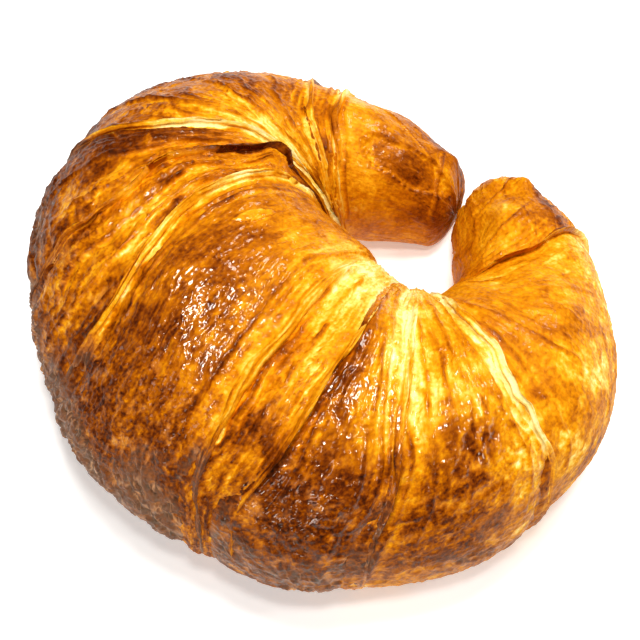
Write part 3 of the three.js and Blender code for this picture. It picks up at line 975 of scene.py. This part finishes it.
def crust_material():
    material = bpy.data.materials.new("glazed_crust")
    material.use_nodes = True
    nodes, links = material.node_tree.nodes, material.node_tree.links
    shader = nodes["Principled BSDF"]

    def attribute(name):
        node = nodes.new("ShaderNodeAttribute")
        node.attribute_type = "GEOMETRY"
        node.attribute_name = name
        return node

    def math_node(operation, a, b, clamp=False):
        node = nodes.new("ShaderNodeMath")
        node.operation = operation
        node.use_clamp = clamp
        for socket, value in zip(node.inputs, (a, b)):
            if isinstance(value, (int, float)):
                socket.default_value = value
            else:
                links.new(value, socket)
        return node.outputs[0]

    def plus(a, b, clamp=False):
        return math_node("ADD", a, b, clamp)

    def minus(a, b, clamp=False):
        return math_node("SUBTRACT", a, b, clamp)

    def times(a, b, clamp=False):
        return math_node("MULTIPLY", a, b, clamp)

    def swing(texture, amount):
        return times(minus(texture, 0.5), amount)

    def noise_node(vector, scale, detail, stretch=(1, 1, 1)):
        mapping = nodes.new("ShaderNodeMapping")
        mapping.inputs["Scale"].default_value = stretch
        links.new(vector, mapping.inputs["Vector"])
        node = nodes.new("ShaderNodeTexNoise")
        node.inputs["Scale"].default_value = scale
        node.inputs["Detail"].default_value = detail
        links.new(mapping.outputs[0], node.inputs["Vector"])
        return node.outputs["Fac"]

    coordinates = nodes.new("ShaderNodeTexCoord").outputs["Object"]
    flow = attribute("flow").outputs["Vector"]
    names = ("browning_and_shade", "glaze", "dull_and_sheen", "mottle")
    browning_and_shade, glaze, dull_and_sheen, mottle = (attribute(name).outputs["Fac"] for name in names)
    fibres = noise_node(flow, PER_MM, 3, (1.3, 0.28, 1))
    grain = noise_node(coordinates, 1200, 4)
    blotches = noise_node(coordinates, 260, 3)
    shade = plus(browning_and_shade, swing(fibres, 0.24))
    coarse = plus(times(mottle, 0.4), 0.3)
    shade = plus(shade, swing(grain, coarse))

    # the rim's wavy lines are where a noise crosses its middle, and broken up by the blotches; on the
    # dull rim they are painted paler and greyer, as painted reflections of the bright floor
    slanted = nodes.new("ShaderNodeMapping")
    slanted.vector_type = "TEXTURE"
    slanted.inputs["Rotation"].default_value = (0, 0, RIM_LINE_LEAN)
    slanted.inputs["Scale"].default_value = RIM_LINE_SCALE
    links.new(flow, slanted.inputs["Vector"])
    wavy = nodes.new("ShaderNodeTexNoise")
    wavy.inputs["Scale"].default_value = PER_MM
    wavy.inputs["Detail"].default_value = 1.5
    wavy.inputs["Distortion"].default_value = 0.5
    links.new(slanted.outputs[0], wavy.inputs["Vector"])
    from_middle = math_node("ABSOLUTE", minus(wavy.outputs["Fac"], 0.5), 0)
    ridges = minus(1, times(from_middle, RIM_LINE_THIN), clamp=True)
    present = times(minus(blotches, 0.4), 6, clamp=True)
    ridges = times(ridges, present)
    # painted reflections: the wavy lines are paler on the dull rim
    painted_sheen = minus(times(ridges, 0.34), 0.08)
    shade = minus(shade, times(dull_and_sheen, painted_sheen))
    shade = plus(shade, swing(blotches, 0.3), clamp=True)
    ramp = nodes.new("ShaderNodeValToRGB")
    elements = ramp.color_ramp.elements
    while len(elements) < len(CRUST_COLOURS):
        elements.new(0.5)
    for element, (position, colour) in zip(elements, CRUST_COLOURS):
        element.position = position
        element.color = colour
    links.new(shade, ramp.inputs["Fac"])
    tint = nodes.new("ShaderNodeMix")
    tint.data_type = "RGBA"
    # mixes in the pale grey of the dull rim and, on its wavy lines, of the painted reflections
    dull_sheen_mix = times(dull_and_sheen, plus(times(ridges, 0.42), 0.23))
    links.new(dull_sheen_mix, tint.inputs["Factor"])
    links.new(ramp.outputs["Color"], tint.inputs["A"])
    tint.inputs["B"].default_value = DULL_SHEEN_COLOUR
    links.new(tint.outputs["Result"], shader.inputs["Base Color"])

    rough = minus(0.55, times(glaze, 0.38))
    rough = plus(rough, swing(grain, 0.15), clamp=True)
    links.new(rough, shader.inputs["Roughness"])
    # the glaze's coat lies on the grain's peaks, and all over where it is thick
    patchy = times(minus(grain, 0.47), 6)
    patchy = plus(patchy, times(glaze, glaze), clamp=True)
    links.new(times(glaze, patchy), shader.inputs["Coat Weight"])
    shader.inputs["Coat Roughness"].default_value = 0.08
    shader.inputs["Specular IOR Level"].default_value = 0.14
    shader.inputs["Specular Tint"].default_value = SPECULAR_TINT

    dashes = noise_node(flow, PER_MM, 1, (2.2, 0.6, 1))
    height = plus(times(fibres, 0.4), times(grain, 0.4))
    height = plus(height, times(dashes, times(glaze, 1.2)))
    height = plus(height, times(dull_and_sheen, times(ridges, 0.6)))
    bump = nodes.new("ShaderNodeBump")
    links.new(minus(0.9, times(glaze, 0.6)), bump.inputs["Strength"])
    bump.inputs["Distance"].default_value = 0.0006
    links.new(height, bump.inputs["Height"])
    links.new(bump.outputs[0], shader.inputs["Normal"])
    return material


def floor_material():
    material = bpy.data.materials.new("pale_floor")
    material.use_nodes = True
    sockets = material.node_tree.nodes["Principled BSDF"].inputs
    sockets["Base Color"].default_value = FLOOR_COLOUR
    sockets["Roughness"].default_value = 0.8
    sockets["Specular IOR Level"].default_value = 0.1
    sockets["Emission Color"].default_value = WHITE
    sockets["Emission Strength"].default_value = FLOOR_GLOW
    return material


crust = crust_material()
for number, turn_name in enumerate(TURN_NAMES):
    piece = mesh_of("turn_" + turn_name, *turn_grid(number))
    piece.data.materials.append(crust)
    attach(piece, "root")
    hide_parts("croissant")

# Floor, light and camera

FLOOR_SIZE, FLOOR_COLOUR, FLOOR_GLOW = 4.0, (0.9, 0.93, 0.96, 1), 0.3
WHITE = (1, 1, 1, 1)
WORLD_GLOW = 0.1
WARM, MILD = (1, 0.96, 0.9), (1, 0.97, 0.92)
LIGHT_TARGET = Vector((0, 0, 0.03))

# name, place and size in metres, power in watts and colour
LIGHTS = [
    ("key", (0.4, 0.42, 0.7), 0.32, 3.25, WARM),
    ("top", (-0.02, 0.06, 0.9), 0.2, 3.35, WARM),
    ("front", (0.04, -0.22, 0.86), 0.12, 1.75, WARM),
    ("fill", (-0.5, -0.4, 0.7), 0.28, 0.85, MILD),
    ("side", (0.5, -0.12, 0.62), 0.1, 0.75, WARM),
    ("low", (-0.35, -0.75, 0.34), 0.2, 1.1, MILD),
]

CAMERA_ELEVATION = math.radians(58)
CAMERA_DISTANCE = 0.4
CAMERA_TARGET = Vector((0.0, 0.0, 0.02)) - Vector(CENTRE * MM)
LENS, SENSOR, CLIP_START = 90, 36, 0.01

floor_mesh = bpy.data.meshes.new("floor")
reach = FLOOR_SIZE / 2
corners = [(-reach, -reach, 0), (reach, -reach, 0), (reach, reach, 0), (-reach, reach, 0)]
floor_mesh.from_pydata(corners, [], [(0, 1, 2, 3)])
floor = bpy.data.objects.new("floor", floor_mesh)
bpy.context.scene.collection.objects.link(floor)
floor.data.materials.append(floor_material())

scene = bpy.context.scene
scene.view_settings.view_transform = "Standard"
scene.view_settings.look = "Medium High Contrast"
world = bpy.data.worlds.new("studio")
scene.world = world
world.use_nodes = True
background = world.node_tree.nodes["Background"]
background.inputs["Color"].default_value = WHITE
background.inputs["Strength"].default_value = WORLD_GLOW


def aimed(thing, position, target):
    """Put a lamp or camera at a place, facing the target, into the scene."""
    thing.location = position
    thing.rotation_euler = (target - Vector(position)).to_track_quat("-Z", "Y").to_euler()
    scene.collection.objects.link(thing)


for name, position, size, power, colour in LIGHTS:
    lamp = bpy.data.lights.new(name, "AREA")
    lamp.color = colour
    lamp.shape = "DISK"
    lamp.size = size
    lamp.energy = power
    aimed(bpy.data.objects.new(name, lamp), position, LIGHT_TARGET)

camera_data = bpy.data.cameras.new("camera")
camera_data.lens = LENS
camera_data.sensor_width = SENSOR
camera_data.clip_start = CLIP_START
camera = bpy.data.objects.new("camera", camera_data)
away = Vector((0, -math.cos(CAMERA_ELEVATION), math.sin(CAMERA_ELEVATION)))
aimed(camera, CAMERA_TARGET + CAMERA_DISTANCE * away, CAMERA_TARGET)
scene.camera = camera
